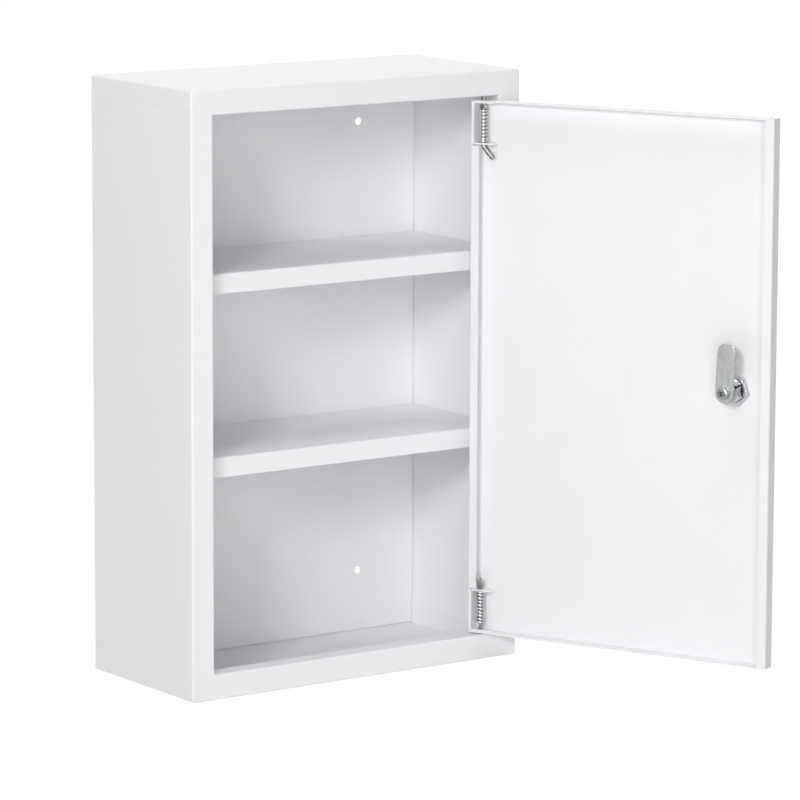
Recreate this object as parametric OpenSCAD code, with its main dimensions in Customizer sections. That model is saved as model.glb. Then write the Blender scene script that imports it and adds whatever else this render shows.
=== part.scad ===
// Lockable wall cabinet of folded sheet steel, with two fixed shelves, an inset
// door on two sprung pull-pin hinges and a cam lock with its key.
//
// Millimetres. Z is up. The origin is the middle of the four wall holes, on the
// rear face of the back panel, which stands one sheet in front of the wall.
// The pieces are drawn with the wall at Y = 0 and then moved on by one sheet.
// The door is drawn open. Everything that it carries is modelled with the door
// shut, round the hinge axis, and is then swung open by door_angle.

/* [Cabinet] */
// Width over the sides
cabinet_w = 300; // [250:5:400]
// Height over the top and the base
cabinet_h = 460; // [430:5:600]
// Depth from the wall to the front face
cabinet_d = 140; // [125:5:200]
// Thickness of the painted sheet
sheet_t = 1; // [0.8:0.1:1.2]
// Inside radius of every fold
fold_r = 0.6; // [0.4:0.1:0.8]

/* [Front frame] */
// Width of the face that frames the door opening
frame_w = 19.5; // [17:0.5:26]
// Depth of the flange that turns in round the opening
frame_return = 16; // [14:0.5:16]

/* [Top, base and back] */
// Width of the flange that each side turns in along the wall
wall_flange = 12; // [8:1:20]
// Height of the flanges of the top and the base, inside the sides
cap_flange = 15; // [10:0.5:16]
// Play round a sheet that is laid in before it is welded
lay_in = 0.2; // [0.1:0.05:0.4]
// Distance between the left and right wall holes
wall_hole_dx = 190; // [100:5:230]
// Distance between the upper and lower wall holes
wall_hole_dz = 360; // [300:5:400]
// Diameter of the wall holes
wall_hole_d = 6; // [4:0.5:8]

/* [Shelves] */
// Height of the upper shelf's top above the base
upper_shelf_h = 319.5; // [290:0.5:340]
// Height of the lower shelf's top above the base
lower_shelf_h = 180.5; // [140:0.5:220]
// Distance from the cabinet's front face to the shelves' front edge
shelf_setback = 18; // [18:0.5:50]
// Height of the shelves' lip and flanges
shelf_lip = 15; // [10:0.5:25]
// Play between a shelf and the sides
shelf_play = 0.1; // [0.05:0.05:0.3]

/* [Door] */
// Angle at which the door stands open
door_angle = 114.7; // [80:0.1:118]
// Thickness of the door over its flanges
door_t = 12; // [11:0.5:13]
// Gap between the door and the frame at each side
door_side_gap = 2; // [1.5:0.1:3]
// Gap over the shut door
door_top_gap = 3.5; // [1:0.5:5]
// Gap under the shut door
door_base_gap = 1.2; // [1:0.1:4]
// Width of the lips that the door's long sides turn in
door_lip = 7.4; // [7:0.1:12]

/* [Hinges] */
// Distance from the door's edge to the hinge pins
pin_inset = 8.3; // [8:0.1:9]
// Diameter of the hinge pins
pin_d = 4.2; // [3.6:0.1:4.4]
// Play round a pin in its holes, on the radius
pin_play = 0.08; // [0.02:0.01:0.1]
// Length of a pin that stands out of the door
pin_out = 9.5; // [8:0.5:10]
// Height of a hinge bracket over its two ears
bracket_h = 33; // [30:0.5:38]
// Thickness of a hinge bracket
bracket_t = 1.2; // [1:0.1:1.4]
// Width of a hinge bracket and its ears
bracket_w = 8.8; // [8:0.1:8.8]
// Reach of the ears past the pin
ear_reach = 10.5; // [8:0.5:13]
// Space between a bracket's end and the lip that starts again below it
lip_cut_extra = 1; // [0.5:0.5:4]
// Width of a pin's pinched wings at the spring
wing_w = 7.4; // [7:0.1:7.6]
// Height of the pinched wings
wing_h = 4; // [3:0.5:5]
// Thickness of the pinched wings
wing_t = 2; // [1.5:0.1:2.6]
// Length of a pin's bent handle
handle_len = 12.5; // [8:0.5:15]
// Angle between the handle and the pin
handle_bend = 43; // [30:1:60]
// Turn of the upper handle round its pin
upper_handle_turn = 0; // [0:1:20]
// Turn of the lower handle round its pin
lower_handle_turn = 73; // [50:1:80]

/* [Hinge springs] */
// Outside diameter of the springs
spring_d = 7.6; // [7.4:0.1:8]
// Diameter of the spring wire
spring_wire = 1; // [0.8:0.05:1.1]
// Open turns of a spring
spring_turns = 8; // [6:1:9]
// Gap between the wires of the closed turn at each end
spring_end_gap = 0.45; // [0.42:0.01:0.6]

/* [Lock] */
// Distance from the door's free edge to the lock's axis
lock_inset = 33.8; // [28:0.1:36]
// Height of the lock's axis over the cabinet's middle
lock_rise = 0; // [-15:1:20]
// Diameter of the lock's barrel
barrel_d = 18; // [17:0.5:19]
// Width over the barrel's flats
barrel_flats = 16; // [15:0.25:16.5]
// Length of the barrel behind the door's outer face
barrel_len = 17; // [16:0.5:17.5]
// Diameter of the lock's face
lock_face_d = 22; // [21:0.5:26]
// Thickness of the lock's face
lock_face_t = 2.4; // [2:0.1:3]
// Width of the nut over its flats
nut_w = 22; // [20.5:0.5:24]
// Thickness of the nut
nut_t = 5; // [3:0.5:6]
// Turn of the nut's corners from the door's face
nut_turn = 12; // [0:1:60]
// Diameter of the plug that the key turns
plug_d = 13; // [12.4:0.1:13.4]
// Play round the plug, on the radius
plug_play = 0.06; // [0.02:0.01:0.1]
// Width of the plug's square tail
tail_w = 8; // [7:0.1:8.4]
// Play between the tail and what it turns, each side
tail_play = 0.05; // [0.02:0.01:0.1]

/* [Cam] */
// Width of the cam, which has round ends
cam_w = 15; // [14:0.5:18]
// Distance from the lock's axis to the centre of the cam's round tip
cam_reach = 30.4; // [29:0.2:32]
// Thickness of the cam
cam_t = 2; // [1.5:0.1:2.5]
// Turn of the lock between open and locked
lock_turn = 90; // [60:5:90]
// Turn that the open lock has already made towards locked
lock_start = 2.8; // [0:0.1:5]
// Thickness of the stop washer between the barrel and the cam
stop_washer_t = 1.1; // [0.8:0.1:1.3]
// Angle that the stop washer's tab spans
stop_tab_angle = 30; // [20:5:40]
// Diameter of the cam screw's thread
screw_d = 5; // [4:0.5:5]
// Diameter of the cam screw's head
screw_head_d = 9.5; // [8.5:0.5:10.5]
// Height of the cam screw's head
screw_head_h = 2.6; // [2:0.1:3.2]
// Outside diameter of the washer under the screw
screw_washer_d = 11.6; // [11:0.2:13]
// Thickness of the washer under the screw
screw_washer_t = 0.8; // [0.5:0.1:1]

/* [Key and wafers] */
// Length of the key's blade
blade_len = 15.5; // [14.5:0.5:15.5]
// Height of the key's blade
blade_h = 6.6; // [6:0.1:7]
// Thickness of the key's blade
blade_t = 1.8; // [1.6:0.1:2]
// Play between the blade and the keyway, each side
key_play = 0.15; // [0.1:0.01:0.2]
// Diameter of the key's bow
bow_d = 22; // [18:0.5:26]
// Thickness of the key's bow
bow_t = 2.2; // [1.8:0.1:2.6]
// Number of wafers in the plug
wafer_count = 5; // [3:1:5]
// Thickness of a wafer
wafer_t = 1; // [0.8:0.1:1.2]
// Distance from one wafer to the next
wafer_pitch = 2.4; // [2.3:0.1:2.4]

/* [Hidden] */
$fn = 64;

fold_out = sheet_t + fold_r;
half_w = cabinet_w / 2;
half_h = cabinet_h / 2;
skin = sheet_t / 2;
// A length that carries a cut past the sheet it cuts
past = 2;

// The door opening
open_x = half_w - frame_w;
open_z = half_h - frame_w;

// The hinge axis, and the door round it when shut: hinge side +X, inside +Y
hinge_x = open_x - door_side_gap - pin_inset;
hinge_y = -cabinet_d + door_t / 2;
door_edge = pin_inset;
door_free = -(open_x - door_side_gap) - hinge_x;
door_out = -door_t / 2;
door_in = door_t / 2;
door_top = open_z - door_top_gap;
door_base = -open_z + door_base_gap;
pin_hole_d = pin_d + 2 * pin_play;

// A hinge, measured from the door's end along the pin, outwards positive
bracket_top = -sheet_t;
bracket_base = bracket_top - bracket_h;
wing_play = 0.2;
wing_top = bracket_top - bracket_t - wing_play;
wing_base = wing_top - wing_h;
ear_top = bracket_base + bracket_t;
spring_play = 0.08;
spring_top = wing_base - spring_play;
spring_base = ear_top + spring_play;
spring_mean_r = (spring_d - spring_wire) / 2;
end_pitch = spring_wire + spring_end_gap;
open_pitch = (spring_top - spring_base - spring_wire - 2 * end_pitch) / spring_turns;
rings_per_turn = 8;
wire_sides = 6;
bend_below_ear = 1.5;
knuckle_d = pin_d + 0.15;
rod_chamfer = 0.6;

// The lock, along its own axis from the door's outer face inwards
lock_x = door_free + lock_inset;
nut_base = sheet_t;
tail_start = barrel_len + 0.05;
stop_washer_base = barrel_len + 0.1;
cam_base = stop_washer_base + stop_washer_t;
screw_washer_base = cam_base + cam_t;
tail_end = screw_washer_base - 0.1;
screw_base = screw_washer_base + screw_washer_t;
plug_recess = 0.5;
tab_r_in = plug_d / 2 + 0.3;
tab_r_out = barrel_d / 2 - 0.6;
tab_h = 1.2;
stop_notch_depth = tab_h + 0.4;
keyway_h = blade_h + 2 * key_play;
keyway_w = blade_t + 2 * key_play;
keyway_end = -lock_face_t + plug_recess + blade_len + 1;
first_wafer = 2.5;
wafer_w = 7;
wafer_h = 10.6;
wafer_play = 0.1;
wafer_window = 0.4;
screw_start = keyway_end + 1;
// How deep the key is cut at each wafer, from its shoulder to its tip
key_cuts = [0.7, 1.3, 0.5, 1.1, 0.9];

white_paint = [0.93, 0.93, 0.94];
shade_paint = [0.89, 0.89, 0.91];
zinc = [0.72, 0.73, 0.74];
chrome = [0.82, 0.83, 0.85];
brass = [0.78, 0.66, 0.38];

// ---------------------------------------------------------------- directions

// Stretches a drawing in (X, Y) from z0 to z1
module along_z(z0, z1) {
    translate([0, 0, z0])
        linear_extrude(z1 - z0)
            children();
}

// Stretches a drawing in (Y, Z) from x0 to x1
module along_x(x0, x1) {
    translate([x0, 0, 0])
        rotate([90, 0, 90])
            linear_extrude(x1 - x0)
                children();
}

// Stretches a drawing in (X, Z) from y0 to y1
module along_y(y0, y1) {
    translate([0, y1, 0])
        rotate([90, 0, 0])
            linear_extrude(y1 - y0)
                children();
}

// A block between two corners
module block(low, high) {
    translate(low)
        cube(high - low);
}

// Moves what is drawn from the wall onto the wall holes' own plane
module off_wall() {
    translate([0, sheet_t, 0])
        children();
}

// ---------------------------------------------------------------- sheet metal

// A rectangle whose four corners are true arcs
module soft_rect(low, high, r) {
    translate([low[0] + r, low[1]])
        square([high[0] - low[0] - 2 * r, high[1] - low[1]]);
    translate([low[0], low[1] + r])
        square([high[0] - low[0], high[1] - low[1] - 2 * r]);
    for (x = [low[0] + r, high[0] - r], y = [low[1] + r, high[1] - r])
        translate([x, y])
            circle(r);
}

function unit(v) = v / norm(v);
function beside(v) = [-v[1], v[0]];

// One straight run of sheet, seen on edge
module strip_run(from, to) {
    half = beside(unit(to - from)) * skin;
    polygon([from + half, to + half, to - half, from - half]);
}

// The quarter ring where sheet turns a right angle
module strip_fold(before, corner, after) {
    arriving = unit(corner - before);
    leaving = unit(after - corner);
    reach = 2 * fold_out;
    translate(corner + (fold_r + skin) * (leaving - arriving))
        intersection() {
            difference() {
                circle(fold_out);
                circle(fold_r);
            }
            polygon([[0, 0], reach * arriving, reach * (arriving - leaving), -reach * leaving]);
        }
}

// Sheet folded along a path of its middle line, with right-angle corners
module folded_strip(path) {
    last = len(path) - 1;
    for (i = [0 : last - 1]) {
        along = unit(path[i + 1] - path[i]);
        from_cut = i == 0 ? 0 : fold_r + skin;
        to_cut = i == last - 1 ? 0 : fold_r + skin;
        strip_run(path[i] + from_cut * along, path[i + 1] - to_cut * along);
    }
    for (i = [1 : last - 1])
        strip_fold(path[i - 1], path[i], path[i + 1]);
}

// The outside of a tray that hangs from z = 0, its upper edges folded
module tray_form(low, high, depth, r) {
    intersection() {
        along_x(low[0], high[0])
            soft_rect([low[1], -depth - 2 * r], [high[1], 0], r);
        along_y(low[1], high[1])
            soft_rect([low[0], -depth - 2 * r], [high[0], 0], r);
        block([low[0], low[1], -depth], [high[0], high[1], 0]);
    }
}

// A plate with a flange folded down on all four sides
module sheet_tray(low, high, depth) {
    inset = [sheet_t, sheet_t];
    difference() {
        tray_form(low, high, depth, fold_out);
        translate([0, 0, -sheet_t])
            tray_form(low + inset, high - inset, depth, fold_r);
    }
}

// ---------------------------------------------------------------- cabinet body

// The sides and the front frame are one sheet, folded round the door opening
module body_shell() {
    front = -cabinet_d + skin;
    window_x = open_x + fold_out;
    window_z = open_z + fold_out;
    return_end = -cabinet_d + frame_return;
    color(white_paint)
    off_wall()
    difference() {
        union() {
            difference() {
                along_z(-half_h + sheet_t, half_h - sheet_t)
                    folded_strip([
                        [-half_w + wall_flange, -skin],
                        [-half_w + skin, -skin],
                        [-half_w + skin, front],
                        [half_w - skin, front],
                        [half_w - skin, -skin],
                        [half_w - wall_flange, -skin]
                    ]);
                block([-window_x, -cabinet_d - past, -window_z],
                      [window_x, -cabinet_d + sheet_t + past, window_z]);
            }
            for (side = [-1, 1]) {
                along_z(-window_z, window_z)
                    folded_strip([
                        [side * (window_x + past), front],
                        [side * (open_x + skin), front],
                        [side * (open_x + skin), return_end]
                    ]);
                along_x(-window_x, window_x)
                    folded_strip([
                        [front, side * (window_z + past)],
                        [front, side * (open_z + skin)],
                        [return_end, side * (open_z + skin)]
                    ]);
            }
        }
        for (side = [-1, 1])
            translate([hinge_x, hinge_y, side * (open_z + skin)])
                cylinder(h = sheet_t + past, d = pin_hole_d, center = true);
    }
}

// The top. The base is the same tray turned over
module cap_tray() {
    edge_x = half_w - sheet_t;
    front = -cabinet_d + sheet_t;
    difference() {
        sheet_tray([-edge_x, front], [edge_x, 0], cap_flange);
        for (side = [-1, 1]) {
            // clears the wall flange of the side
            translate([side * (half_w - (wall_flange - lay_in) / 2), -skin, -cap_flange / 2 - sheet_t])
                cube([wall_flange + lay_in, sheet_t, cap_flange], center = true);
            // lets the back panel pass behind the side flange
            translate([side * edge_x, -sheet_t - lay_in, -cap_flange / 2 - sheet_t])
                cube([4 * sheet_t, 2 * sheet_t + 2 * lay_in, cap_flange], center = true);
            // clears the inside of the cabinet's front fold
            translate([side * edge_x, front, -cap_flange / 2 - sheet_t])
                cube([2 * fold_r, 2 * fold_r, cap_flange], center = true);
        }
    }
}

module top_pan() {
    color(white_paint)
        off_wall()
            translate([0, 0, half_h])
                cap_tray();
}

module bottom_pan() {
    color(white_paint)
        off_wall()
            mirror([0, 0, 1])
                translate([0, 0, half_h])
                    cap_tray();
}

module back_panel() {
    panel_x = half_w - fold_out - lay_in;
    panel_z = half_h - fold_out - lay_in;
    color(shade_paint)
    off_wall()
        difference() {
            block([-panel_x, -2 * sheet_t, -panel_z], [panel_x, -sheet_t, panel_z]);
            for (x = [-1, 1] * wall_hole_dx / 2, z = [-1, 1] * wall_hole_dz / 2)
                translate([x, -1.5 * sheet_t, z])
                    rotate([90, 0, 0])
                        cylinder(h = sheet_t + past, d = wall_hole_d, center = true);
        }
}

module shelf(height) {
    edge_x = half_w - sheet_t - shelf_play;
    off_wall()
    translate([0, 0, height - half_h])
        sheet_tray([-edge_x, -cabinet_d + shelf_setback], [edge_x, -2 * sheet_t], shelf_lip);
}

module upper_shelf() {
    color(white_paint)
        shelf(upper_shelf_h);
}

module lower_shelf() {
    color(white_paint)
        shelf(lower_shelf_h);
}

// ---------------------------------------------------------------- door

// Swings what is drawn round the hinge axis to where the open door stands
module on_door() {
    off_wall()
        translate([hinge_x, hinge_y, 0])
            rotate([0, 0, door_angle])
                children();
}

// The hollow side of the door: its section from above has lips on both sides,
// and its section from the side has none
module door_hollow() {
    intersection() {
        along_z(door_base, door_top)
            union() {
                soft_rect([door_free + sheet_t, door_out + sheet_t],
                          [door_edge - sheet_t, door_in - sheet_t], fold_r);
                translate([door_free + door_lip, 0])
                    square([door_edge - door_free - 2 * door_lip, door_in + past]);
            }
        along_x(door_free, door_edge)
            soft_rect([door_out + sheet_t, door_base + sheet_t],
                      [door_in + 2 * door_t, door_top - sheet_t], fold_r);
    }
}

// The lip on the hinge side is cut away where a hinge sits
module lip_cut(from, to) {
    block([door_edge - door_lip - past, door_in - fold_out, from],
          [door_edge + past, door_in + past, to]);
}

module door_pan() {
    cut = bracket_h + lip_cut_extra;
    color(white_paint)
    on_door()
    difference() {
        intersection() {
            along_z(door_base, door_top)
                soft_rect([door_free, door_out], [door_edge, door_in], fold_out);
            along_x(door_free, door_edge)
                soft_rect([door_out, door_base], [door_in + 2 * door_t, door_top], fold_out);
        }
        door_hollow();
        lip_cut(door_top - sheet_t - cut, door_top - sheet_t);
        lip_cut(door_base + sheet_t, door_base + sheet_t + cut);
        cylinder(h = cabinet_h, d = pin_hole_d, center = true);
        at_lock()
            barrel_outline(-past, sheet_t + past, 0.1);
    }
}

// ---------------------------------------------------------------- hinges

module at_upper_hinge() {
    on_door()
        translate([0, 0, door_top])
            children();
}

module at_lower_hinge() {
    on_door()
        translate([0, 0, door_base])
            mirror([0, 0, 1])
                children();
}

// A U of steel on the door's edge flange: a web and two round-ended ears
module hinge_bracket() {
    web_out = door_edge - sheet_t;
    ear_r = bracket_w / 2;
    fold_in = 0.8;
    fold_over = fold_in + bracket_t;
    difference() {
        intersection() {
            along_z(bracket_base, bracket_top)
                union() {
                    translate([-ear_reach + ear_r, -ear_r])
                        square([ear_reach - ear_r + web_out, bracket_w]);
                    translate([-ear_reach + ear_r, 0])
                        circle(ear_r);
                }
            along_y(-ear_r, ear_r)
                soft_rect([-ear_reach - 2 * fold_over, bracket_base], [web_out, bracket_top], fold_over);
        }
        along_y(-bracket_w, bracket_w)
            soft_rect([-ear_reach - 2 * fold_over, bracket_base + bracket_t],
                      [web_out - bracket_t, bracket_top - bracket_t], fold_in);
        cylinder(h = 3 * bracket_h, d = pin_hole_d, center = true);
    }
}

// A round rod along z with a chamfered far end
module rod(length) {
    rotate_extrude()
        polygon([
            [0, 0],
            [pin_d / 2, 0],
            [pin_d / 2, length - rod_chamfer],
            [pin_d / 2 - rod_chamfer, length],
            [0, length]
        ]);
}

// A rod that stands out of the door at one end and bends into a handle at the
// other. Its wings, pinched out of the rod, are what the spring pushes on
module hinge_pin(handle_turn) {
    bend_z = bracket_base - bend_below_ear;
    wing_edge = 0.8;
    wing_root = pin_d / 2 - 0.4;
    translate([0, 0, bend_z])
        rod(pin_out - bend_z);
    along_y(-wing_t / 2, wing_t / 2)
        polygon([
            [-wing_root, wing_top],
            [wing_root, wing_top],
            [wing_w / 2, wing_base + wing_edge],
            [wing_w / 2, wing_base],
            [-wing_w / 2, wing_base],
            [-wing_w / 2, wing_base + wing_edge]
        ]);
    translate([0, 0, bend_z]) {
        sphere(d = knuckle_d);
        rotate([0, handle_bend - 180, -handle_turn])
            rod(handle_len);
    }
}

// A point on the spring's middle line after some turns: a closed turn, the open
// turns, then another closed turn
function spring_z(turn) =
    spring_base + spring_wire / 2
    + end_pitch * min(turn, 1)
    + open_pitch * max(0, min(turn - 1, spring_turns))
    + end_pitch * max(0, turn - 1 - spring_turns);
function spring_point(turn) = [
    spring_mean_r * cos(360 * turn),
    spring_mean_r * sin(360 * turn),
    spring_z(turn)
];
all_turns = spring_turns + 2;
ring_count = all_turns * rings_per_turn + 1;

// One ring of points round the wire, on the plane that the axis lies in
function wire_ring(turn) = [
    for (side = [0 : wire_sides - 1])
        let (round = 360 * side / wire_sides, r = spring_mean_r + spring_wire / 2 * cos(round))
        [r * cos(360 * turn), r * sin(360 * turn), spring_z(turn) + spring_wire / 2 * sin(round)]
];

// The tube's skin: two triangles between each pair of points, and a fan at each end
function tube_faces(rings, sides) = concat(
    [for (ring = [0 : rings - 2], side = [0 : sides - 1])
        let (a = ring * sides + side, b = ring * sides + (side + 1) % sides)
        [a, b, a + sides]],
    [for (ring = [0 : rings - 2], side = [0 : sides - 1])
        let (a = ring * sides + side, b = ring * sides + (side + 1) % sides)
        [b, b + sides, a + sides]],
    [for (side = [1 : sides - 2]) [0, side + 1, side]],
    [for (side = [1 : sides - 2])
        let (first = (rings - 1) * sides)
        [first, first + side, first + side + 1]]
);

module hinge_spring() {
    polyhedron(
        points = [for (i = [0 : ring_count - 1]) each wire_ring(i / rings_per_turn)],
        faces = tube_faces(ring_count, wire_sides),
        convexity = 10
    );
}

// The least gap between wires that are over half a turn apart
measured_gap = min([
    for (i = [0 : ring_count - 1], j = [0 : ring_count - 1])
        if (j - i > rings_per_turn / 2)
            norm(spring_point(i / rings_per_turn) - spring_point(j / rings_per_turn)) - spring_wire
]);
echo(spring_least_gap_mm = measured_gap, spring_pitch_mm = open_pitch);

module upper_hinge_bracket() {
    color(white_paint)
        at_upper_hinge()
            hinge_bracket();
}

module lower_hinge_bracket() {
    color(white_paint)
        at_lower_hinge()
            hinge_bracket();
}

module upper_hinge_pin() {
    color(zinc)
        at_upper_hinge()
            hinge_pin(upper_handle_turn);
}

module lower_hinge_pin() {
    color(zinc)
        at_lower_hinge()
            hinge_pin(lower_handle_turn);
}

module upper_hinge_spring() {
    color(chrome)
        at_upper_hinge()
            hinge_spring();
}

module lower_hinge_spring() {
    color(chrome)
        at_lower_hinge()
            hinge_spring();
}

// ---------------------------------------------------------------- lock

// Puts z = 0 on the door's outer face, z inwards, x towards the hinges, y up
module at_lock() {
    translate([lock_x, door_out, lock_rise])
        rotate([-90, 0, 0])
            mirror([0, 1, 0])
                children();
}

// The same, turned as far as the open lock stands
module at_plug() {
    on_door()
        at_lock()
            rotate([0, 0, lock_start])
                children();
}

// The round barrel with its two flats, or the hole that takes it
module barrel_outline(z0, z1, play) {
    along_z(z0, z1)
        intersection() {
            circle(d = barrel_d + 2 * play);
            square([barrel_flats + 2 * play, 2 * barrel_d], center = true);
        }
}

// A slice of a ring from one angle to another, for the stop and its notch
module ring_slice(r_in, r_out, from, to) {
    reach = 2 * r_out;
    steps = 8;
    intersection() {
        difference() {
            circle(r_out);
            circle(r_in);
        }
        polygon(concat([[0, 0]], [
            for (i = [0 : steps])
                let (angle = from + (to - from) * i / steps)
                reach * [cos(angle), sin(angle)]
        ]));
    }
}

module lock_barrel() {
    rim = 1;
    color(chrome)
    on_door()
    at_lock()
    difference() {
        union() {
            translate([0, 0, -lock_face_t])
                cylinder(h = rim, d1 = lock_face_d - 2 * rim, d2 = lock_face_d);
            translate([0, 0, -lock_face_t + rim])
                cylinder(h = lock_face_t - rim, d = lock_face_d);
            barrel_outline(-rim / 2, barrel_len, 0);
        }
        cylinder(h = 3 * barrel_len, d = plug_d + 2 * plug_play, center = true);
        along_z(barrel_len - stop_notch_depth, barrel_len + past)
            ring_slice(plug_d / 2, barrel_d, 90 - stop_tab_angle / 2 - 1,
                       90 + lock_turn + stop_tab_angle / 2 + 1);
    }
}

module lock_nut() {
    corner_r = nut_w / cos(30) / 2;
    top = nut_base + nut_t;
    top_r = nut_w / 2 - 0.2;
    wide_r = corner_r + 1;
    color(chrome)
    on_door()
    at_lock()
    difference() {
        intersection() {
            along_z(nut_base, top)
                rotate(nut_turn)
                    circle(corner_r, $fn = 6);
            rotate_extrude()
                polygon([
                    [0, 0],
                    [wide_r, 0],
                    [wide_r, top - (wide_r - top_r) * tan(30)],
                    [top_r, top],
                    [0, top]
                ]);
        }
        cylinder(h = 4 * nut_t, d = barrel_d + 0.1, center = true);
    }
}

// Where wafer number i starts along the plug
function wafer_z(i) = first_wafer + i * wafer_pitch;

module lock_plug() {
    color(brass)
    at_plug()
    difference() {
        union() {
            translate([0, 0, -lock_face_t + plug_recess])
                cylinder(h = tail_start + lock_face_t - plug_recess, d = plug_d);
            along_z(tail_start - 1, tail_end)
                square(tail_w, center = true);
        }
        along_z(-lock_face_t - past, keyway_end)
            square([keyway_w, keyway_h], center = true);
        for (i = [0 : wafer_count - 1])
            along_z(wafer_z(i) - wafer_play, wafer_z(i) + wafer_t + wafer_play)
                square([wafer_w + 2 * wafer_play, plug_d + past], center = true);
        translate([0, 0, screw_start])
            cylinder(h = barrel_len, d = screw_d + 0.1);
    }
}

// Flat brass wafers that the key's cuts bring level with the plug
module lock_wafers() {
    color(brass)
    at_plug()
    for (i = [0 : wafer_count - 1])
        along_z(wafer_z(i), wafer_z(i) + wafer_t)
            difference() {
                square([wafer_w, wafer_h], center = true);
                square([keyway_w + wafer_window, keyway_h + wafer_window], center = true);
            }
}

// A washer on the plug's tail whose tab runs in the barrel's notch
module lock_stop_washer() {
    color(zinc)
    at_plug() {
        along_z(stop_washer_base, stop_washer_base + stop_washer_t)
            difference() {
                circle(r = tab_r_out);
                square(tail_w + 2 * tail_play, center = true);
            }
        along_z(stop_washer_base - tab_h, stop_washer_base + stop_washer_t / 2)
            ring_slice(tab_r_in, tab_r_out, 90 - stop_tab_angle / 2, 90 + stop_tab_angle / 2);
    }
}

module lock_cam() {
    color(zinc)
    at_plug()
    along_z(cam_base, cam_base + cam_t)
        difference() {
            union() {
                circle(d = cam_w);
                translate([0, cam_reach])
                    circle(d = cam_w);
                translate([-cam_w / 2, 0])
                    square([cam_w, cam_reach]);
            }
            square(tail_w + 2 * tail_play, center = true);
        }
}

module cam_screw_washer() {
    color(zinc)
    at_plug()
    along_z(screw_washer_base, screw_washer_base + screw_washer_t)
        difference() {
            circle(d = screw_washer_d);
            circle(d = screw_d + 0.2);
        }
}

// A domed head with a cross recess, its thread in the end of the plug
module cam_screw() {
    dome_r = (pow(screw_head_d / 2, 2) + pow(screw_head_h, 2)) / (2 * screw_head_h);
    recess_w = 1.3;
    recess_l = 5;
    recess_depth = 1.7;
    top = screw_base + screw_head_h;
    color(chrome)
    at_plug()
    difference() {
        union() {
            intersection() {
                translate([0, 0, top - dome_r])
                    sphere(dome_r);
                translate([0, 0, screw_base])
                    cylinder(h = screw_head_h, d = screw_head_d);
            }
            translate([0, 0, screw_start + 1])
                cylinder(h = screw_base - screw_start - 0.8, d = screw_d);
        }
        for (turn = [0, 90])
            translate([0, 0, top - recess_depth])
                rotate([0, 0, turn + 25])
                    along_z(0, recess_depth + past)
                        square([recess_l, recess_w], center = true);
    }
}

// The V that is cut in the blade's edge at one wafer
module key_cut(centre, depth) {
    flat = 0.4;
    top = blade_h / 2;
    polygon([
        [top - depth, centre - flat],
        [top + past, centre - flat - depth - past],
        [top + past, centre + flat + depth + past],
        [top - depth, centre + flat]
    ]);
}

// The key: a blade in the plug and a round bow with a hole for a ring
module key() {
    shoulder_w = 9;
    shoulder_len = 4;
    key_face = -lock_face_t - 0.3;
    bow_centre = key_face - shoulder_len - bow_d / 2;
    ring_hole_d = 5;
    tip_bevel = 2;
    color(zinc)
    at_plug()
    difference() {
        union() {
            along_x(-blade_t / 2, blade_t / 2)
                polygon([
                    [-blade_h / 2, key_face - 1],
                    [blade_h / 2, key_face - 1],
                    [blade_h / 2, key_face + blade_len - tip_bevel],
                    [blade_h / 2 - tip_bevel, key_face + blade_len],
                    [-blade_h / 2, key_face + blade_len]
                ]);
            along_x(-bow_t / 2, bow_t / 2)
                union() {
                    translate([0, bow_centre])
                        circle(d = bow_d);
                    translate([-shoulder_w / 2, bow_centre])
                        square([shoulder_w, key_face - bow_centre]);
                }
        }
        translate([0, 0, bow_centre - bow_d / 4])
            rotate([0, 90, 0])
                cylinder(h = 3 * bow_t, d = ring_hole_d, center = true);
        for (i = [0 : wafer_count - 1])
            along_x(-blade_t, blade_t)
                key_cut(wafer_z(i) + wafer_t / 2, key_cuts[i]);
    }
}

body_shell();
top_pan();
bottom_pan();
back_panel();
upper_shelf();
lower_shelf();
door_pan();
upper_hinge_bracket();
lower_hinge_bracket();
upper_hinge_pin();
lower_hinge_pin();
upper_hinge_spring();
lower_hinge_spring();
lock_barrel();
lock_nut();
lock_plug();
lock_wafers();
lock_stop_washer();
lock_cam();
cam_screw_washer();
cam_screw();
key();
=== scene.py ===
# %% [markdown]
# # A lockable wall cabinet of folded steel
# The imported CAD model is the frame: it holds every sheet, hinge and lock piece at
# its real size. This lesson gives each of them its finish, puts the fine forms over
# the plain ones, such as wound springs and a threaded barrel, and sets up a studio.

# %% Load the frame and keep its box
import math
import bpy
from mathutils import Matrix, Vector


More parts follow.
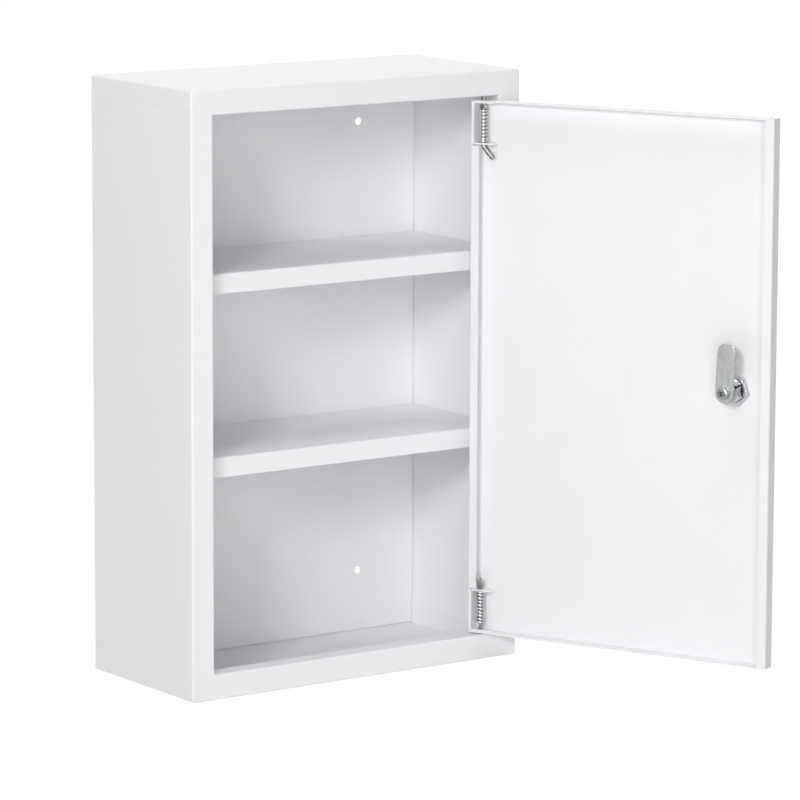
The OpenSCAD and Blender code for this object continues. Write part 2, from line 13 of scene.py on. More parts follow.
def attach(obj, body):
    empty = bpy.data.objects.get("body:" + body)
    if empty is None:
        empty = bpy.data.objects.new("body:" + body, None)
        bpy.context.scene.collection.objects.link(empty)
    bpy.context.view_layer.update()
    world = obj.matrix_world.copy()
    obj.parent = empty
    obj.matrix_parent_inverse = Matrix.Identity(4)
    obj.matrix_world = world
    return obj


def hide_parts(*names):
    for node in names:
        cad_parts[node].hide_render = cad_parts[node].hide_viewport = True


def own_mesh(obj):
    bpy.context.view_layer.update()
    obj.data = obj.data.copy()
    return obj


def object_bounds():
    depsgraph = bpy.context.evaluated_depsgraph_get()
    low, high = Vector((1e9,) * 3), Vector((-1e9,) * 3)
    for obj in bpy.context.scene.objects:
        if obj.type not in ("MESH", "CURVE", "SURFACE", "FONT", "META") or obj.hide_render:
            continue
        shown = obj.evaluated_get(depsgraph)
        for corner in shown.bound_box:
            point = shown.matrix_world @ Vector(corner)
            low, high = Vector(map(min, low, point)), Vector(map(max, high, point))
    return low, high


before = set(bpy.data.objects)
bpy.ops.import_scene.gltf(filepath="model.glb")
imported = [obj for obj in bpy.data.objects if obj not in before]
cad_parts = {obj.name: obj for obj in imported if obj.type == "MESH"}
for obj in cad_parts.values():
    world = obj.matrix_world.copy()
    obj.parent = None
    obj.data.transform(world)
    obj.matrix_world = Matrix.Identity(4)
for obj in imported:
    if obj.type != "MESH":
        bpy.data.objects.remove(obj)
cad_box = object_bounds()
print("CAD box, mm:", [round(1000 * (b - a), 1) for a, b in zip(*cad_box)])

# %% [markdown]
# ## Units and small helpers
# Sizes are written in millimetres, as on a workshop drawing, and one name turns them
# to Blender's metres. Colours are written as on a paint card, in hex, and one
# function turns them to the linear light that a shader works in. A material is a
# graph of small steps, and one function adds a step, sets it and links it. A colour
# mix has several sockets of one name, so the ones used here go by number.

# %% Millimetres, colours and nodes
MM = 0.001
MIX_FROM, MIX_TO, MIX_RESULT = 6, 7, 2


def linear(hex_colour):
    """A paint-card hex colour as the linear RGBA that a shader expects, by the sRGB curve."""
    values = [int(hex_colour[i:i + 2], 16) / 255 for i in (1, 3, 5)]
    return [v / 12.92 if v <= 0.04045 else ((v + 0.055) / 1.055) ** 2.4 for v in values] + [1.0]


def add_node(tree, kind, inputs=None, **settings):
    """One node with its settings; an input that is a socket is linked, any other is set."""
    made = tree.nodes.new(kind)
    for name, value in settings.items():
        setattr(made, name, value)
    for socket, value in (inputs or {}).items():
        if isinstance(value, bpy.types.NodeSocket):
            tree.links.new(value, made.inputs[socket])
        else:
            made.inputs[socket].default_value = value
    return made


print("mid grey in linear light:", [round(v, 3) for v in linear("#808080")])

# %% [markdown]
# ## The camera
# The cabinet is seen from its left front and a little above, with a long lens, so
# its upright edges stay almost parallel. The place and the lens were solved from
# the corners of the real cabinet, which is 300 mm wide, 460 mm high and 140 mm deep.

# %% Set up the camera
CAMERA_PLACE = (-2.00246, -3.02754, 0.58505)  # metres
CAMERA_TURN = (80.332, -0.209, -35.207)  # degrees
LENS, SENSOR, SEES_TO = 211.67, 36, 40  # millimetres, millimetres, metres

camera_data = bpy.data.cameras.new("catalogue_camera")
camera_data.sensor_width = SENSOR
camera_data.lens = LENS
camera_data.clip_end = SEES_TO
camera = bpy.data.objects.new("catalogue_camera", camera_data)
camera.location = CAMERA_PLACE
camera.rotation_euler = [math.radians(a) for a in CAMERA_TURN]
bpy.context.scene.collection.objects.link(camera)
bpy.context.scene.camera = camera
print("camera stands", round(camera.location.length, 2), "m from the cabinet's middle")

# %% [markdown]
# ## Powder-coated steel
# The sheets are sprayed with a dry white powder that melts in an oven to one even
# skin. It gives the eye a satin white, softly mirror-like at grazing angles, with a
# faint orange peel. The peel is taken to be about 0.8 mm across, too fine to show at
# this distance, so it is drawn at 2.5 mm. A slow cloudiness, some centimetres across,
# keeps the large panels from looking like flat colour. All of it is worked out from
# the place on the piece, so it needs no picture and no unwrapping.

# %% Powder coat
COAT, COAT_CLOUD = "#F9F8FA", "#F6F6F8"
COAT_ROUGH, COAT_STRAYS = 0.34, 0.04
CLOUD_SIZE, PEEL_SIZE, PEEL_DEPTH = 45 * MM, 2.5 * MM, 0.06 * MM


def powder_coat(name, marks=None, marks_depth=0.0):
    """White powder coat: a satin skin with a faint orange peel, and marks if they are given."""
    material = bpy.data.materials.new(name)
    material.use_nodes = True
    tree = material.node_tree
    shader = tree.nodes["Principled BSDF"]
    place = add_node(tree, "ShaderNodeTexCoord").outputs["Object"]
    cloud = add_node(tree, "ShaderNodeTexNoise", {
        "Vector": place, "Scale": 1 / CLOUD_SIZE, "Detail": 2.0,
    })
    tint = add_node(tree, "ShaderNodeMix", {
        "Factor": cloud.outputs["Fac"], MIX_FROM: linear(COAT), MIX_TO: linear(COAT_CLOUD),
    }, data_type="RGBA")
    peel = add_node(tree, "ShaderNodeTexNoise", {
        "Vector": place, "Scale": 1 / PEEL_SIZE, "Detail": 3.0,
    })
    gloss = add_node(tree, "ShaderNodeMapRange", {
        "Value": peel.outputs["Fac"],
        "To Min": COAT_ROUGH - COAT_STRAYS, "To Max": COAT_ROUGH + COAT_STRAYS,
    })
    bump = add_node(tree, "ShaderNodeBump", {
        "Height": peel.outputs["Fac"], "Strength": 0.25, "Distance": PEEL_DEPTH,
    })
    if marks:
        bump = add_node(tree, "ShaderNodeBump", {
            "Height": marks(tree, place), "Normal": bump.outputs["Normal"],
            "Strength": 1.0, "Distance": marks_depth,
        })
    tree.links.new(tint.outputs[MIX_RESULT], shader.inputs["Base Color"])
    tree.links.new(gloss.outputs["Result"], shader.inputs["Roughness"])
    tree.links.new(bump.outputs["Normal"], shader.inputs["Normal"])
    shader.inputs["IOR"].default_value = 1.5
    return material


white_powder_coat = powder_coat("white_powder_coat")
print("made", white_powder_coat.name)

# %% [markdown]
# ## Weld marks on the sides
# The top and the base are trays whose flanges lie inside the cabinet's sides, and three
# spot welds hold each flange. Under the paint each weld leaves a shallow round dent
# between 5 and 6 mm across, and the flange's edge shows as a very faint step. Both are
# too shallow to model, so they are a bump that is worked out from the place on the
# side. A zigzag along the side is nought at each weld, so one dent serves for all.

# %% Weld marks
# The first weld and the next, their height from the middle, and one dent's radius
WELD_FIRST, WELD_STEP, WELD_Z, WELD_R = -109.5, 43.0, 222.5, 2.8
WELD_COUNT = 3
# The flange's edge, and half the width over which it rises
FLANGE_EDGE_Z, EDGE_BLUR = 215.0, 1
# The bump's whole depth, and what a dent and the step take of it. The real dents weren't
# measured and are taken to be about 0.2 mm deep; here they are 0.3 mm, so that they show
MARKS_DEPTH, DENT_SHARE, STEP_SHARE = 0.5, 0.6, 0.4
# A face belongs to a side where its normal points along X by this much
FACES_SIDEWAYS = 0.9


def weld_marks(tree, place):
    """Height of the side's surface: round dents in a row, and the step at the flange's edge."""
    axis = add_node(tree, "ShaderNodeSeparateXYZ", {0: place}).outputs
    height = add_node(tree, "ShaderNodeMath", {0: axis["Z"]}, operation="ABSOLUTE").outputs[0]
    along = add_node(tree, "ShaderNodeMath", {
        0: axis["Y"], 1: WELD_FIRST * MM,
    }, operation="SUBTRACT").outputs[0]
    along = add_node(tree, "ShaderNodeMath", {
        0: along, 1: WELD_STEP / 2 * MM,
    }, operation="PINGPONG").outputs[0]
    across = add_node(tree, "ShaderNodeMath", {
        0: height, 1: WELD_Z * MM,
    }, operation="SUBTRACT").outputs[0]
    away = add_node(tree, "ShaderNodeCombineXYZ", {"X": along, "Y": across}).outputs[0]
    away = add_node(tree, "ShaderNodeVectorMath", {0: away}, operation="LENGTH").outputs["Value"]
    dent = add_node(tree, "ShaderNodeMapRange", {
        "Value": away, "From Min": 0.0, "From Max": WELD_R * MM,
        "To Min": 0.0, "To Max": DENT_SHARE,
    }, interpolation_type="SMOOTHSTEP").outputs[0]
    step = add_node(tree, "ShaderNodeMapRange", {
        "Value": height,
        "From Min": (FLANGE_EDGE_Z - EDGE_BLUR) * MM, "From Max": (FLANGE_EDGE_Z + EDGE_BLUR) * MM,
        "To Min": 0.0, "To Max": STEP_SHARE,
    }, interpolation_type="SMOOTHSTEP").outputs[0]
    marks = add_node(tree, "ShaderNodeMath", {0: dent, 1: step}, operation="ADD").outputs[0]
    normal = add_node(tree, "ShaderNodeNewGeometry").outputs["Normal"]
    facing = add_node(tree, "ShaderNodeSeparateXYZ", {0: normal}).outputs["X"]
    facing = add_node(tree, "ShaderNodeMath", {0: facing}, operation="ABSOLUTE").outputs[0]
    on_side = add_node(tree, "ShaderNodeMath", {
        0: facing, 1: FACES_SIDEWAYS,
    }, operation="GREATER_THAN").outputs[0]
    return add_node(tree, "ShaderNodeMath", {
        0: marks, 1: on_side,
    }, operation="MULTIPLY").outputs[0]


welded_coat = powder_coat("welded_powder_coat", weld_marks, MARKS_DEPTH * MM)
print("welds at", [WELD_FIRST + i * WELD_STEP for i in range(WELD_COUNT)],
      "mm from the wall holes' plane")

# %% [markdown]
# ## Zinc, chrome, spring steel and brass
# All of them get their look from what they mirror, and from the fine marks that their
# making leaves: a pattern that is stretched along the way the metal was rolled or
# drawn, and that shifts the colour, the gloss and the surface a little. Marks under
# half a millimetre are too fine to show, so they are drawn at half a millimetre or
# more.

# %% Metals
MARK_DEPTH = 0.02 * MM


def plated_metal(name, hex_colour, hex_mark, rough, strays, mark_size, stretch=(1, 1, 1)):
    """A metal with marks of its making, their size in mm; its roughness strays a little."""
    material = bpy.data.materials.new(name)
    material.use_nodes = True
    tree = material.node_tree
    shader = tree.nodes["Principled BSDF"]
    place = add_node(tree, "ShaderNodeTexCoord").outputs["Object"]
    drawn = add_node(tree, "ShaderNodeMapping", {"Vector": place, "Scale": stretch})
    marks = add_node(tree, "ShaderNodeTexNoise", {
        "Vector": drawn.outputs["Vector"], "Scale": 1 / (mark_size * MM), "Detail": 4.0,
    })
    tint = add_node(tree, "ShaderNodeMix", {
        "Factor": marks.outputs["Fac"], MIX_FROM: linear(hex_colour), MIX_TO: linear(hex_mark),
    }, data_type="RGBA")
    gloss = add_node(tree, "ShaderNodeMapRange", {
        "Value": marks.outputs["Fac"], "To Min": rough - strays, "To Max": rough + strays,
    })
    bump = add_node(tree, "ShaderNodeBump", {
        "Height": marks.outputs["Fac"], "Strength": 0.3, "Distance": MARK_DEPTH,
    })
    tree.links.new(tint.outputs[MIX_RESULT], shader.inputs["Base Color"])
    tree.links.new(gloss.outputs["Result"], shader.inputs["Roughness"])
    tree.links.new(bump.outputs["Normal"], shader.inputs["Normal"])
    shader.inputs["Metallic"].default_value = 1.0
    return material


# Zinc on stamped strip gives a soft grey with a cloudy grain along the strip
zinc_plate = plated_metal("zinc_plated_steel", "#C8CAC9", "#9CA09E",
                          rough=0.26, strays=0.08, mark_size=2.4, stretch=(1, 1, 0.4))
# Zinc on drawn rod gives a darker, tighter grey with long fine lines
drawn_rod = plated_metal("zinc_plated_drawn_rod", "#A7AAA9", "#8E9190",
                         rough=0.30, strays=0.05, mark_size=0.8, stretch=(1, 1, 0.2))
# Chrome on polished metal gives an almost clean mirror, so it shows the whole studio
bright_chrome = plated_metal("bright_chrome", "#C6C8CB", "#B9BBBE",
                             rough=0.12, strays=0.03, mark_size=1.2)
# Bright spring wire gives a sparkle on the front of every turn
spring_steel = plated_metal("bright_spring_steel", "#EDEEEF", "#DADBDC",
                            rough=0.22, strays=0.04, mark_size=0.5)
# Turned brass gives a warm yellow with soft lathe marks
plug_brass = plated_metal("turned_brass", "#C9AE6A", "#B99B55",
                          rough=0.28, strays=0.06, mark_size=0.6)
print("made", [m.name for m in (zinc_plate, drawn_rod, bright_chrome, spring_steel, plug_brass)])

# %% [markdown]
# ## A finish for every CAD piece
# The pieces that are right as they come from the CAD model stay in view and only get
# their finish. The others get one too, so that nothing is ever left in a plain colour.

# %% Give every CAD node its finish
FINISHES = (
    (welded_coat, ("body_shell",)),
    (white_powder_coat, (
        "top_pan", "bottom_pan", "back_panel", "upper_shelf", "lower_shelf", "door_pan",
        "upper_hinge_bracket", "lower_hinge_bracket",
    )),
    (drawn_rod, ("upper_hinge_pin", "lower_hinge_pin", "cam_screw")),
    (spring_steel, ("upper_hinge_spring", "lower_hinge_spring")),
    (bright_chrome, ("lock_barrel", "lock_nut")),
    (plug_brass, ("lock_plug", "lock_wafers")),
    (zinc_plate, ("lock_stop_washer", "lock_cam", "cam_screw_washer", "key")),
)
for finish, names in FINISHES:
    for name in names:
        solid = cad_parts[name]
        solid.data.materials.clear()
        solid.data.materials.append(finish)
print("finished", sum(len(names) for _, names in FINISHES), "of", len(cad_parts), "CAD nodes")

# %% [markdown]
# ## Places on the door
# The door stands open by 114.7 degrees, and everything on it turns with it. Each
# small piece is modelled upright at the origin, as on a bench, and is then carried
# to its place in one move. These are the places: the hinge axis, the two hinges and
# the lock, whose own Z runs from the door's outer face inwards. The lower hinge is
# the upper one turned over.

# %% Places on the door
DOOR_ANGLE = math.radians(114.7)
HINGE_AXIS = Vector((120.2, -133.0, 0)) * MM
DOOR_TOP, DOOR_BASE, DOOR_HALF = 207.0, -209.3, 6.0
LOCK_FROM_HINGE, LOCK_START = 214.9, math.radians(-2.8)

on_door = Matrix.Translation(HINGE_AXIS) @ Matrix.Rotation(DOOR_ANGLE, 4, "Z")
upper_hinge = on_door @ Matrix.Translation((0, 0, DOOR_TOP * MM))
turned_over = Matrix.Diagonal((1, 1, -1, 1))
lower_hinge = on_door @ Matrix.Translation((0, 0, DOOR_BASE * MM)) @ turned_over
# On the shut door the lock's X points left, its Y up and its Z inwards
lock_axes = Matrix(((-1, 0, 0, 0), (0, 0, 1, 0), (0, 1, 0, 0), (0, 0, 0, 1)))
lock_place = Matrix.Translation((-LOCK_FROM_HINGE * MM, -DOOR_HALF * MM, 0))
at_lock = on_door @ lock_place @ lock_axes
at_plug = at_lock @ Matrix.Rotation(LOCK_START, 4, "Z")
print("lock stands at, mm:", [round(v / MM, 1) for v in at_lock.translation])

# %% [markdown]
# ## A lathe
# Most small pieces of a lock or a hinge are round, so they are turned. This helper
# draws a circle out ring by ring, as a lathe tool follows an outline. A piece with a
# bore ends on the ring where it began, and the two rings are merged.

# %% Lathe
def start_on(obj):
    """Leave object mode clean, with one piece selected and active."""
    if bpy.context.object and bpy.context.object.mode != "OBJECT":
        bpy.ops.object.mode_set(mode="OBJECT")
    bpy.ops.object.select_all(action="DESELECT")
    if obj:
        obj.select_set(True)
        bpy.context.view_layer.objects.active = obj


def turned(name, outline, sides, closed=False):
    """A lathe-turned piece, from (radius, height) steps in mm; closed ends where it began."""
    start_on(None)
    radius, height = outline[0]
    bpy.ops.mesh.primitive_circle_add(vertices=sides, radius=radius * MM,
                                      location=(0, 0, height * MM))
    obj = bpy.context.object
    obj.name = name
    bpy.ops.object.transform_apply(location=True)
    bpy.ops.object.mode_set(mode="EDIT")
    bpy.ops.mesh.select_all(action="SELECT")
    if not closed:
        bpy.ops.mesh.edge_face_add()
    for next_radius, next_height in outline[1:]:
        bpy.ops.mesh.extrude_region_move(
            TRANSFORM_OT_translate={"value": (0, 0, (next_height - height) * MM)})
        grow = next_radius / radius
        bpy.ops.transform.resize(value=(grow, grow, 1), center_override=(0, 0, next_height * MM))
        radius, height = next_radius, next_height
    if closed:
        bpy.ops.mesh.select_all(action="SELECT")
        bpy.ops.mesh.remove_doubles(threshold=0.001 * MM)
    bpy.ops.mesh.select_all(action="SELECT")
    bpy.ops.mesh.normals_make_consistent(inside=False)
    bpy.ops.object.mode_set(mode="OBJECT")
    return obj


print("ready:", turned.__name__)

# %% [markdown]
# ## Cutting and softening
# What isn't round is cut. A block is added or taken away with a boolean, a few vertices
# are picked by their place and moved, and a bevel softens the edges, because no edge of
# a stamped or tumbled piece is sharp.

# %% Cutting and softening
def pick(obj, wanted):
    """Go into edit mode with only the vertices selected whose place, in mm, is wanted."""
    start_on(obj)
    bpy.ops.object.mode_set(mode="EDIT")
    bpy.ops.mesh.select_mode(type="VERT")
    bpy.ops.mesh.select_all(action="DESELECT")
    bpy.ops.object.mode_set(mode="OBJECT")
    for v in obj.data.vertices:
        v.select = wanted(v.co / MM)
    bpy.ops.object.mode_set(mode="EDIT")


def use_modifier(obj, kind, **settings):
    """Add a modifier, set it and apply it."""
    start_on(obj)
    made = obj.modifiers.new(kind.lower(), kind)
    for name, value in settings.items():
        setattr(made, name, value)
    bpy.ops.object.modifier_apply(modifier=made.name)


def cut(obj, cutter, operation="DIFFERENCE"):
    """Cut one piece with another, which is used up."""
    use_modifier(obj, "BOOLEAN", object=cutter, operation=operation, solver="EXACT")
    bpy.data.objects.remove(cutter)


def soften(obj, width, above, segments=2):
    """Break the edges sharper than an angle, as a tumbler does, by a width in mm."""
    use_modifier(obj, "BEVEL", width=width * MM, segments=segments,
                 limit_method="ANGLE", angle_limit=math.radians(above))


def block(size, centre, turn=0):
    """A cutting block: its size and centre in mm, turned about Z."""
    start_on(None)
    bpy.ops.mesh.primitive_cube_add(size=1, location=[c * MM for c in centre],
                                    rotation=(0, 0, turn))
    made = bpy.context.object
    made.scale = [s * MM for s in size]
    bpy.ops.object.transform_apply(location=True, rotation=True, scale=True)
    return made


print("ready:", [helper.__name__ for helper in (pick, use_modifier, cut, soften, block)])

# %% [markdown]
# ## From the bench to the door
# A finished piece is carried to its place, and the move is applied, so that its place
# is in its mesh, as it is for a CAD piece. Then it gets its finish, rides on its body
# and stands for the CAD piece that it refines.

# %% Fit a piece
SMOOTH_UNDER = math.radians(32)


def fit(obj, place, body, finish, node):
    """Carry a finished piece to its place, on its body, instead of the CAD piece it refines."""
    start_on(obj)
    obj.matrix_world = place
    bpy.ops.object.transform_apply(location=True, rotation=True, scale=True)
    bpy.ops.object.mode_set(mode="EDIT")
    bpy.ops.mesh.select_all(action="SELECT")
    bpy.ops.mesh.normals_make_consistent(inside=False)
    bpy.ops.object.mode_set(mode="OBJECT")
    bpy.ops.object.shade_smooth_by_angle(angle=SMOOTH_UNDER)
    obj.data.materials.clear()
    obj.data.materials.append(finish)
    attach(obj, body)
    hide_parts(node)
    low, high = ([round(end(v.co[i] for v in obj.data.vertices) / MM, 1) for i in range(3)]
                 for end in (min, max))
    print(obj.name, len(obj.data.polygons), "faces, mm", low, high)


def carbon_copy(obj, name):
    """The same piece again, with a mesh of its own."""
    twin = obj.copy()
    twin.data = obj.data.copy()
    twin.name = name
    bpy.context.scene.collection.objects.link(twin)
    return twin


print("pieces look smooth under", round(math.degrees(SMOOTH_UNDER)), "degrees")

# %% [markdown]
# ## Hinge springs
# Each spring is steel wire wound round the pin: one closed turn at each end and eight
# open turns between. A spring is a circle of wire carried along a screw line, and
# that is also how it is made here: the Screw modifier carries the wire's round
# section up, once with the closed pitch, once with the open pitch and once more. A
# curve with a round section would do too, but it needs its points worked out first.
# The wire is 1.25 mm thick, as it looks on the real cabinet. That leaves the closed
# turns only 0.2 mm apart, so the turns of the CAD model's spring are thinner.

# %% Wind a spring
WIRE, SPRING_D = 1.25, 7.6
SPRING_FOOT, SPRING_HEAD = -32.72, -6.48
CLOSED_PITCH, OPEN_TURNS = 1.45, 8
OPEN_PITCH = (SPRING_HEAD - SPRING_FOOT - WIRE - 2 * CLOSED_PITCH) / OPEN_TURNS
WIRE_SIDES, STEPS_A_TURN = 12, 28


def wound(height, pitch, turns):
    """Some turns of wire that start at a height, in mm."""
    start_on(None)
    bpy.ops.mesh.primitive_circle_add(
        vertices=WIRE_SIDES, radius=WIRE / 2 * MM,
        location=((SPRING_D - WIRE) / 2 * MM, 0, height * MM), rotation=(math.pi / 2, 0, 0))
    made = bpy.context.object
    bpy.ops.object.transform_apply(location=True, rotation=True)
    use_modifier(made, "SCREW", axis="Z", angle=2 * math.pi, screw_offset=pitch * MM,
                 iterations=turns, steps=STEPS_A_TURN, render_steps=STEPS_A_TURN,
                 use_normal_calculate=True)
    return made


def spring(name):
    """A whole spring, its three windings joined into one wire."""
    foot = SPRING_FOOT + WIRE / 2
    parts = [
        wound(foot, CLOSED_PITCH, 1),
        wound(foot + CLOSED_PITCH, OPEN_PITCH, OPEN_TURNS),
        wound(foot + CLOSED_PITCH + OPEN_TURNS * OPEN_PITCH, CLOSED_PITCH, 1),
    ]
    start_on(parts[0])
    for part in parts:
        part.select_set(True)
    bpy.ops.object.join()
    whole = bpy.context.object
    whole.name = name
    bpy.ops.object.mode_set(mode="EDIT")
    bpy.ops.mesh.select_all(action="SELECT")
    bpy.ops.mesh.remove_doubles(threshold=0.01 * MM)
    bpy.ops.mesh.select_all(action="DESELECT")
    bpy.ops.mesh.select_non_manifold()
    bpy.ops.mesh.fill_holes(sides=0)
    bpy.ops.object.mode_set(mode="OBJECT")
    return whole


upper_spring = spring("wound_upper_spring")
lower_spring = carbon_copy(upper_spring, "wound_lower_spring")
for coil, hinge, node in ((upper_spring, upper_hinge, "upper_hinge_spring"),
                          (lower_spring, lower_hinge, "lower_hinge_spring")):
    fit(coil, hinge, "door", spring_steel, node)
print("wound at", round(OPEN_PITCH, 2), "mm a turn")

# %% [markdown]
# ## Each spring's own mesh
# A pulled pin travels 9 mm and its wings push the spring's head down with them, so a
# real spring shortens towards its foot, which rests on the bracket's lower ear. Here
# each spring only gets a mesh of its own; nothing shortens it while its pin is pulled.
# A fixed spring would let the wings cut through its turns.

# %% Give each spring its own mesh
for coil, pull, foot in (
    (upper_spring, "upper_pin_pull", DOOR_TOP + SPRING_FOOT),
    (lower_spring, "lower_pin_pull", DOOR_BASE - SPRING_FOOT),
):
    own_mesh(coil)

# %% [markdown]
# ## Hinge pins
# A pin is one length of 4.2 mm rod. Its lower end is bent into a handle for a finger,
# and a little under the upper bracket ear it is pinched flat into two wings, which the
# spring pushes on. So it is made as the bench does it: draw the rod out, squeeze the
# rings where the wings are, and bend the last stretch round a small radius. That keeps
# it one unbroken skin, where joined cylinders would leave a hard line at the bend.

# %% Draw and bend a pin
ROD, ROD_EDGE, ROD_SIDES = 4.2, 0.6, 32
PIN_TIP, WING_TOP, WING_BASE, BEND_AT = 9.5, -2.4, -6.4, -35.5
BEND, BEND_RADIUS, BEND_STEPS = math.radians(43), 3.6, 8
HANDLE = 12.5
LOWER_HANDLE_TURN = math.radians(-73)


def pin(name):
    """A drawn, pinched and bent pin; its handle bends towards -X."""
    corner_cut = BEND_RADIUS * math.tan(BEND / 2)
    straight_end = BEND_AT + corner_cut
    # Each ring's radius and height, and how wide and how thin it is against a round one
    rings = [
        (ROD / 2 - ROD_EDGE, PIN_TIP, 1, 1), (ROD / 2, PIN_TIP - ROD_EDGE, 1, 1),
        (ROD / 2, WING_TOP, 1, 1), (ROD / 2, WING_TOP - 1.2, 1.2, 0.72),
        (ROD / 2, WING_BASE + 1.1, 1.68, 0.5), (ROD / 2, WING_BASE + 0.2, 1.7, 0.48),
        (ROD / 2, WING_BASE, 1.6, 0.46), (ROD / 2, WING_BASE - 0.05, 1, 1),
        (ROD / 2, WING_BASE - 1, 1, 1), (ROD / 2, straight_end, 1, 1),
    ]
    start_on(None)
    radius, height, wide, thin = rings[0]
    bpy.ops.mesh.primitive_circle_add(vertices=ROD_SIDES, radius=radius * MM,
                                      location=(0, 0, height * MM))
    rod = bpy.context.object
    rod.name = name
    bpy.ops.object.transform_apply(location=True)
    bpy.ops.object.mode_set(mode="EDIT")
    bpy.ops.mesh.select_all(action="SELECT")
    bpy.ops.mesh.edge_face_add()
    for next_radius, next_height, next_wide, next_thin in rings[1:]:
        bpy.ops.mesh.extrude_region_move(
            TRANSFORM_OT_translate={"value": (0, 0, (next_height - height) * MM)})
        grow = next_radius / radius
        bpy.ops.transform.resize(value=(grow * next_wide / wide, grow * next_thin / thin, 1),
                                 center_override=(0, 0, next_height * MM))
        radius, height, wide, thin = next_radius, next_height, next_wide, next_thin
    bpy.ops.mesh.spin(steps=BEND_STEPS, angle=-BEND, axis=(0, 1, 0),
                      center=(-BEND_RADIUS * MM, 0, straight_end * MM))
    along = Vector((-math.sin(BEND), 0, -math.cos(BEND)))
    corner = Vector((0, 0, BEND_AT * MM))
    for length in (HANDLE - corner_cut - ROD_EDGE, ROD_EDGE):
        bpy.ops.mesh.extrude_region_move(TRANSFORM_OT_translate={"value": length * MM * along})
    shrink = (ROD / 2 - ROD_EDGE) / (ROD / 2)
    bpy.ops.transform.resize(value=(shrink,) * 3, center_override=corner + HANDLE * MM * along)
    bpy.ops.mesh.select_all(action="SELECT")
    bpy.ops.mesh.normals_make_consistent(inside=False)
    bpy.ops.object.mode_set(mode="OBJECT")
    return rod


upper_pin = pin("bent_upper_pin")
lower_pin = carbon_copy(upper_pin, "bent_lower_pin")
lower_pin_place = lower_hinge @ Matrix.Rotation(LOWER_HANDLE_TURN, 4, "Z")
fit(upper_pin, upper_hinge, "upper_pin", drawn_rod, "upper_hinge_pin")
fit(lower_pin, lower_pin_place, "lower_pin", drawn_rod, "lower_hinge_pin")

# %% [markdown]
# ## The lock's nut
# A large thin hexagon nut holds the barrel. Its corners are turned to a 30 degree
# chamfer on one side, which leaves the curved bright edge that such nuts have. A bevel
# would make that edge straight. So the nut is a hexagonal prism, kept only where a
# lathe-turned disc with a bore holds it too.

# %% Nut
NUT_FLATS, NUT_FROM, NUT_TO, NUT_TURN = 22.0, 1.0, 6.0, math.radians(-12)
NUT_BORE_R, NUT_BORE_EDGE, NUT_BORE_DROP, NUT_PAST = 9.0, 0.3, 0.5, 1
HEX_HALF_SIDE, NUT_CHAMFER = math.radians(30), math.radians(30)
CORNER_R = NUT_FLATS / math.cos(HEX_HALF_SIDE) / 2
# The turned disc: wider and longer than the nut, and flat inside the nut's flats
DISC_R, DISC_FLAT_R = CORNER_R + NUT_PAST, NUT_FLATS / 2 - 0.2

start_on(None)
bpy.ops.mesh.primitive_cylinder_add(
    vertices=6, radius=CORNER_R * MM, depth=(NUT_TO - NUT_FROM) * MM,
    location=(0, 0, (NUT_FROM + NUT_TO) / 2 * MM), rotation=(0, 0, NUT_TURN + HEX_HALF_SIDE))
nut = bpy.context.object
nut.name = "lock_hexagon_nut"
bpy.ops.object.transform_apply(location=True, rotation=True)
chamfer_drop = (DISC_R - DISC_FLAT_R) * math.tan(NUT_CHAMFER)
chamfer = turned("nut_chamfer", [
    (DISC_R, NUT_FROM - NUT_PAST), (DISC_R, NUT_TO - chamfer_drop), (DISC_FLAT_R, NUT_TO),
    (NUT_BORE_R + NUT_BORE_EDGE, NUT_TO), (NUT_BORE_R, NUT_TO - NUT_BORE_DROP),
    (NUT_BORE_R, NUT_FROM - NUT_PAST), (DISC_R, NUT_FROM - NUT_PAST),
], sides=96, closed=True)
cut(nut, chamfer, "INTERSECT")
soften(nut, width=0.18, above=25)
fit(nut, at_lock, "door", bright_chrome, "lock_nut")

# %% [markdown]
# ## The lock's barrel
# The barrel is turned from one bar: a bright round face outside the door, a body with
# a 1 mm thread for the nut, and a bore for the plug. Two flats are milled along it so
# that it can't turn in the door. The thread is drawn as even ridges and not as a screw
# line, because the two look alike at this size and ridges turn with the rest of the
# outline. A notch at the inner end stops the cam's washer. It is cut with a disc, of
# which two straight cuts leave a sector.

# %% Barrel
FACE_R, FACE_OUT, FACE_BACK_EDGE = 11.0, -2.4, 0.15
# The face's rounded rim: steps in from its outside and back from its front
FACE_RIM = ((1.4, 0), (0.5, 0.25), (0, 0.9))
BARREL_R, BARREL_END, BARREL_EDGE, BORE_R, BORE_EDGE = 9.0, 17.0, 0.5, 6.56, 0.2
# Where the thread starts, its pitch, depth and crest, and what it leaves plain at the end
THREAD_FROM, THREAD, THREAD_DEPTH, THREAD_CREST, THREAD_STOP = 1.0, 1.0, 0.45, 0.08, 0.4
FLATS, MILL_T, MILL_L = 16.0, 4, 30
# The notch's depth, its cutter, and the bearings in degrees where it starts and ends
NOTCH_DEEP, NOTCH_CUTTER_R, NOTCH_FROM, NOTCH_TO = 1.6, 12, -16, 106

